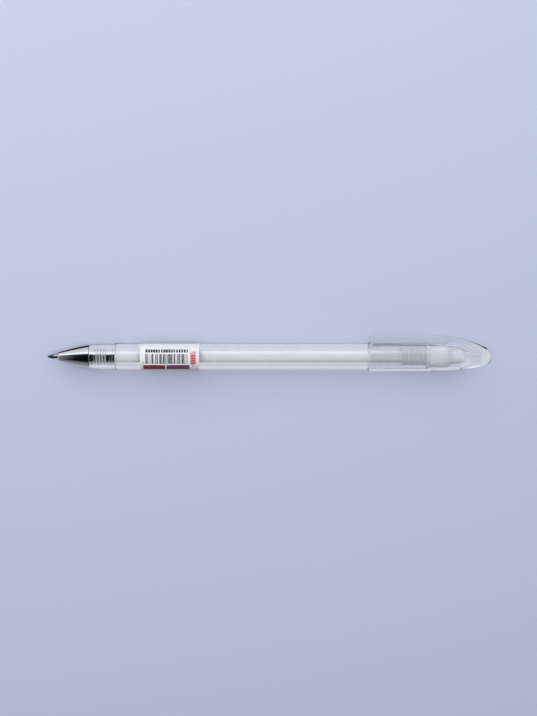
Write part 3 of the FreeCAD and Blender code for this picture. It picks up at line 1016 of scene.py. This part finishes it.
class PEN_OT_cap(Operator):
    """Make the clear cap, moulded in one with its clip over a slot"""

    bl_idname = "pen.cap"
    bl_label = "Cap and clip"

    def execute(self, context):
        sizes = context.scene.pen_cap
        mouth = start_of("cap")
        end = end_of("cap")
        seat = BARREL_RADIUS - context.scene.pen_body.seat_step
        play = 0.05 * MM
        bore = seat + play
        radius = bore + sizes.wall
        shoulder = mouth + sizes.straight
        slot_start = mouth + 1.35 * MM
        slot_end = slot_start + 24.6 * MM
        cap = cap_body(sizes, mouth, shoulder, radius, end)
        combine(cap, slot_solid(sizes, slot_start, slot_end, bore, radius), "DIFFERENCE")
        combine(cap, clip_solid(sizes, mouth, shoulder, slot_end, end), "UNION")
        combine(cap, bore_solid(mouth, shoulder, bore), "DIFFERENCE")
        combine(cap, ridge_solid(sizes, mouth, seat), "UNION")
        coat(cap, clear_plastic("clear_cap", context.scene.pen_colours.clear_cap))
        cap.data.shade_smooth()
        cap.data.set_sharp_from_angle(angle=SHARP_ANGLE)
        lay(cap, "cap", "clear_cap", "cap")
        return {"FINISHED"}


def wrap(piece, height):
    """Bends a flat layout of (along, across) round the barrel at a height above it."""
    start = start_of("price_label")
    for vertex in piece.data.vertices:
        along, across, lift = vertex.co
        reach = BARREL_RADIUS + height + lift
        angle = LABEL_TURN - across / BARREL_RADIUS
        vertex.co = (start + along, reach * math.cos(angle), reach * math.sin(angle))


def flat_block(name, material, thickness, left, right, low, high):
    """A flat block of paper or print with enough steps across to bend."""
    longest_step = 0.25 * MM
    steps = max(2, math.ceil((high - low) / longest_step))
    levels = [low + (high - low) * index / steps for index in range(steps + 1)]
    section = [(level, 0) for level in levels]
    section += [(level, thickness) for level in reversed(levels)]
    sections = [[(place, *point) for point in section] for place in (left, right)]
    piece = lofted(name, sections)
    piece.data.materials.append(material)
    return piece


def bar_row(name, bars, material, thickness, left, right, low, high, values):
    """A row of printed bars between four edges."""
    stride = (right - left) / values["Count"]
    values = {"Stride": stride, "Height": high - low, "Material": material, **values}
    row = grow(name, bars, values)
    row.data.transform(Matrix.Translation((left + stride / 2, (high + low) / 2, 0)))
    solid = row.modifiers.new("thickness", "SOLIDIFY")
    solid.thickness = thickness
    solid.offset = 1
    return apply_modifiers(row)


class PEN_OT_price_label(Operator):
    """Make the paper price label and its generic print"""

    bl_idname = "pen.price_label"
    bl_label = "Price label"

    def execute(self, context):
        sizes = context.scene.pen_label
        colours = context.scene.pen_colours
        along = end_of("price_label") - start_of("price_label")
        half = 6.0 * MM
        glue, paper, ink, gap = 0.005 * MM, 0.06 * MM, 0.008 * MM, 0.006 * MM
        raised_ink = ink * 1.4  # the red mark lies on the pink one
        red_start, red_stride, red_height = -1.75, 0.82, 0.6
        coated = label_paper("label_paper", colours.paper)
        sheet = flat_block("price_label_paper", coated, paper, 0, along, -half, half)
        wrap(sheet, glue)
        lay(sheet, "pen", "label_paper", "price_label")

        names = ("print_dark", "print_maroon", "print_purple", "print_pink", "print_red")
        inks = {name: print_ink(name, getattr(colours, name)) for name in names}
        # Each block's ink, thickness and left, right, low and high edges in millimetres
        blocks = {
            "print_maroon": ("print_maroon", ink, 1.1, 8.42, -4.5, -2.25),
            "print_purple": ("print_purple", ink, 8.85, 16.47, -4.5, -2.25),
            "print_pink": ("print_pink", ink, 16.75, 18.7, -2.0, 2.5),
            "print_dot": ("print_dark", ink, 1.0, 1.3, -1.5, -1.2),
            "print_tick": ("print_dark", ink, 17.2, 18.1, -2.6, -2.4),
        }
        for index in range(4):
            low = red_start + red_stride * index
            edges = (17.0, 18.4, low, low + red_height)
            blocks[f"print_red_{index}"] = ("print_red", raised_ink, *edges)
        prints = [
            flat_block(name, inks[tint], thickness, *(edge * MM for edge in edges))
            for name, (tint, thickness, *edges) in blocks.items()
        ]
        bars = bar_tree()
        # Each row's number of bars, seed, thinnest and widest share, and edges in millimetres
        rows = {
            "print_bars": (sizes.bar_count, sizes.bar_seed, 0.12, 0.95, 1.84, 15.97, -1.7, 1.6),
            "print_marks": (sizes.mark_count, sizes.mark_seed, 0.5, 0.9, 1.84, 16.2, 2.1, 3.2),
        }
        for name, (count, seed, thinnest, widest, *edges) in rows.items():
            values = {"Count": count, "Seed": seed, "Thinnest": thinnest, "Widest": widest}
            edges = [edge * MM for edge in edges]
            prints.append(bar_row(name, bars, inks["print_dark"], ink, *edges, values))
        for piece in prints:
            wrap(piece, paper + gap)
            lay(piece, "pen", "label_paper")
        return {"FINISHED"}


def paint_glow_and_shadow_in_glass(tree, shader, where, tint):
    """Paints light and shade into the floor for plastic and metal: a painted glow for rays through
    plastic and, for mirrored rays, a painted reflection of pale surroundings with a painted dark
    band for the shadow under the pen.
    """
    reach = 20 * MM
    path = light_path(tree)
    place = add_node(tree, "ShaderNodeSeparateXYZ", {"Vector": where}).outputs
    across = between(tree, place["Y"], 0, 1, -reach, reach)

    def levels(*stops):
        """Levels across the floor, from (millimetres, level) stops."""
        stops = [((y * MM + reach) / (2 * reach), (level,) * 3) for y, level in stops]
        return ramp(tree, across, stops)

    # Share of painted glow in rays through plastic, across the floor in millimetres; less of it
    # beside the pen, where the floor's own shadow shows
    painted_glow_through_glass = levels((-20, 0.5), (0, 0.5), (2, 0.2), (6, 0.2), (9, 1.0), (20, 1.0))
    # Painted shadow: a dark band in mirrored rays just beside the pen
    dark = ((-1, 0.12), (0, 0.02), (5.5, 0.02))
    mirrored = levels((-20, 0.55), (-6, 0.5), *dark, (7.5, 0.9), (20, 1.0))
    # Painted glow in mirrored rays behind the nose cone
    painted_glow_behind_cone = between(tree, place["X"], 0, 0.6, -52 * MM, -40 * MM)
    mirror = mirror_ray(tree, path)
    through = maths(tree, "MULTIPLY", path["Is Transmission Ray"], painted_glow_through_glass)
    share = maths(tree, "MAXIMUM", through, mirror)
    painted_reflection_levels = maths(tree, "MAXIMUM", mirrored, painted_glow_behind_cone)
    strength = output_of(tree, "ShaderNodeMix", {"Factor": mirror, 2: 1.0, 3: painted_reflection_levels})
    # Emission that carries the painted glow and the painted shadow
    pale = add_node(tree, "ShaderNodeEmission", {"Color": (*tint, 1), "Strength": strength})
    end_with_mix(tree, share, shader, pale)


def add_floor(scene, settings):
    """A plain pale floor, with a painted glow and a painted shadow band that only rays through
    plastic and mirrored rays see.
    """
    side = 3.0
    corners = [(-side, -side, 0), (side, -side, 0), (side, side, 0), (-side, side, 0)]
    mesh = bpy.data.meshes.new("floor")
    mesh.from_pydata(corners, [], [(0, 1, 2, 3)])
    floor = bpy.data.objects.new("floor", mesh)
    scene.collection.objects.link(floor)
    material, tree, shader, where = principled_material("floor", settings.floor, 0.7)
    clouds = grain(tree, where, 3, 2)
    vary(tree, shader, tint=(clouds, darker(settings.floor, 0.98), settings.floor))
    # Painted glow and painted shadow that only glass and metal see
    paint_glow_and_shadow_in_glass(tree, shader, where, settings.painted_glow_in_glass)
    mesh.materials.append(material)


def add_camera(scene):
    """A camera that looks square at the pen's side, with its clip upwards."""
    lens, sensor = 120.0, 36.0
    frame_height = 239.1 * MM
    distance = frame_height / 2 / (sensor / 2 / lens)
    shift_left, shift_down = 0.3 * MM, 0.5 * MM
    camera_data = bpy.data.cameras.new("camera")
    camera_data.lens = lens
    camera_data.sensor_width = sensor
    camera = bpy.data.objects.new("camera", camera_data)
    across = Vector((1, 0, 0))
    up = Vector((0, math.cos(CLIP_DROOP), -math.sin(CLIP_DROOP)))
    towards = across.cross(up)
    target = Vector((-shift_left, AXIS_Y, AXIS_Z)) - up * shift_down
    place = Matrix((across, up, towards)).transposed().to_4x4()
    place.translation = target + towards * distance
    camera.matrix_world = place
    scene.collection.objects.link(camera)
    scene.camera = camera


def add_lamp(scene, name, angle, distance, shift, size, power, tint, in_reflections):
    """A soft box at an angle from above towards +Y, shifted along the pen."""
    lamp_data = bpy.data.lights.new(name, "AREA")
    lamp_data.shape = "RECTANGLE"
    lamp_data.size, lamp_data.size_y = size
    lamp_data.energy = power
    lamp_data.color = tint
    lamp = bpy.data.objects.new(name, lamp_data)
    turn = Matrix.Rotation(-math.radians(angle), 4, "X")
    lamp.matrix_world = turn @ Matrix.Translation((shift, 0, distance))
    lamp.visible_glossy = in_reflections
    lamp.visible_transmission = in_reflections
    lamp.visible_camera = False
    scene.collection.objects.link(lamp)


def add_world(scene, settings):
    """Soft surroundings, with dark ones overhead and bright ones at the pen's two ends."""
    world = bpy.data.worlds.new("studio")
    world.use_nodes = True
    tree = world.node_tree
    tree.nodes.clear()
    path = light_path(tree)
    where = tree.nodes.new("ShaderNodeTexCoord").outputs["Generated"]
    way = add_node(tree, "ShaderNodeSeparateXYZ", {"Vector": where}).outputs
    angle = maths(tree, "ARCTAN2", way["Y"], way["Z"])
    turn = between(tree, angle, 0, 1, -math.pi / 2, math.pi / 2)
    # Levels from the horizon at -Y over the top to the one at +Y
    low_side = ((0.0, 0.55), (0.08, 0.5), (0.13, 0.5), (0.22, 0.42), (0.36, 0.005))
    high_side = ((0.76, 0.005), (0.84, 0.35), (0.9, 0.95), (1.0, 1.0))
    cool_white = (0.92, 0.95, 1.0)
    stops = [(place, darker(cool_white, level)) for place, level in (*low_side, *high_side)]
    round_pen = ramp(tree, turn, stops)
    cap_end = between(tree, way["X"], 0, 1, 0.22, 0.4)
    point_end = between(tree, way["X"], 0, 1, -0.5, -0.7)
    ends = maths(tree, "MAXIMUM", cap_end, point_end)
    room = tinted(tree, ends, round_pen, (0.8, 0.82, 0.86))
    mirror_loss = 0.4
    calm = maths(tree, "MULTIPLY", mirror_ray(tree, path), mirror_loss)
    in_gloss = tinted(tree, calm, room, (0, 0, 0))
    plain_light = tinted(tree, path["Is Camera Ray"], (0.22, 0.23, 0.26), settings.backdrop)
    gloss = maths(tree, "MAXIMUM", path["Is Glossy Ray"], path["Is Transmission Ray"])
    seen = tinted(tree, gloss, plain_light, in_gloss)
    background = output_of(tree, "ShaderNodeBackground", {"Color": seen, "Strength": 1.0})
    add_node(tree, "ShaderNodeOutputWorld", {"Surface": background})
    scene.world = world


class PEN_OT_stage(Operator):
    """Set up the floor, the camera, the lamps and the surroundings"""

    bl_idname = "pen.stage"
    bl_label = "Stage"

    def execute(self, context):
        scene = context.scene
        settings = scene.pen_stage
        add_floor(scene, settings)
        add_camera(scene)
        # Each lamp's angle, distance, shift, size, power, tint and whether it is mirrored
        lamps = {
            "key": (74, 0.5, -0.38, (0.9, 0.24), 0.55, (1, 1, 1), True),
            "top": (42, 1.0, -0.2, (1.3, 1.2), 14.0, (0.97, 0.98, 1), False),
        }
        for name, values in lamps.items():
            add_lamp(scene, name, *values)
        add_world(scene, settings)
        scene.view_settings.view_transform = "Standard"
        return {"FINISHED"}


STEPS = (
    PEN_OT_barrel,
    PEN_OT_nose_cone,
    PEN_OT_writing_point,
    PEN_OT_refill,
    PEN_OT_end_plug,
    PEN_OT_cap,
    PEN_OT_price_label,
    PEN_OT_stage,
)


class PEN_PT_panel(Panel):
    """Lists the pen's pieces and its settings"""

    bl_idname = "PEN_PT_panel"
    bl_label = "Clear Ballpoint Pen"
    bl_space_type = "VIEW_3D"
    bl_region_type = "UI"
    bl_category = "Pen"

    def draw(self, context):
        layout = self.layout
        for step in STEPS:
            layout.operator(step.bl_idname)
        for name in SETTINGS:
            group = getattr(context.scene, name)
            box = layout.box()
            for key in group.__annotations__:
                box.prop(group, key)


SETTINGS = {
    "pen_body": PenBodySizes,
    "pen_cap": CapSizes,
    "pen_label": LabelSizes,
    "pen_colours": PenColours,
    "pen_stage": StageSettings,
}


def register():
    for group in SETTINGS.values():
        bpy.utils.register_class(group)
    for step in STEPS:
        bpy.utils.register_class(step)
    bpy.utils.register_class(PEN_PT_panel)
    for name, group in SETTINGS.items():
        setattr(bpy.types.Scene, name, PointerProperty(type=group))


def unregister():
    for name in SETTINGS:
        delattr(bpy.types.Scene, name)
    bpy.utils.unregister_class(PEN_PT_panel)
    for step in reversed(STEPS):
        bpy.utils.unregister_class(step)
    for group in reversed(SETTINGS.values()):
        bpy.utils.unregister_class(group)


def main():
    """Makes every piece and the stage."""
    register()
    for step in STEPS:
        family, action = step.bl_idname.split(".")
        getattr(getattr(bpy.ops, family), action)()


if __name__ == "__main__":
    main()
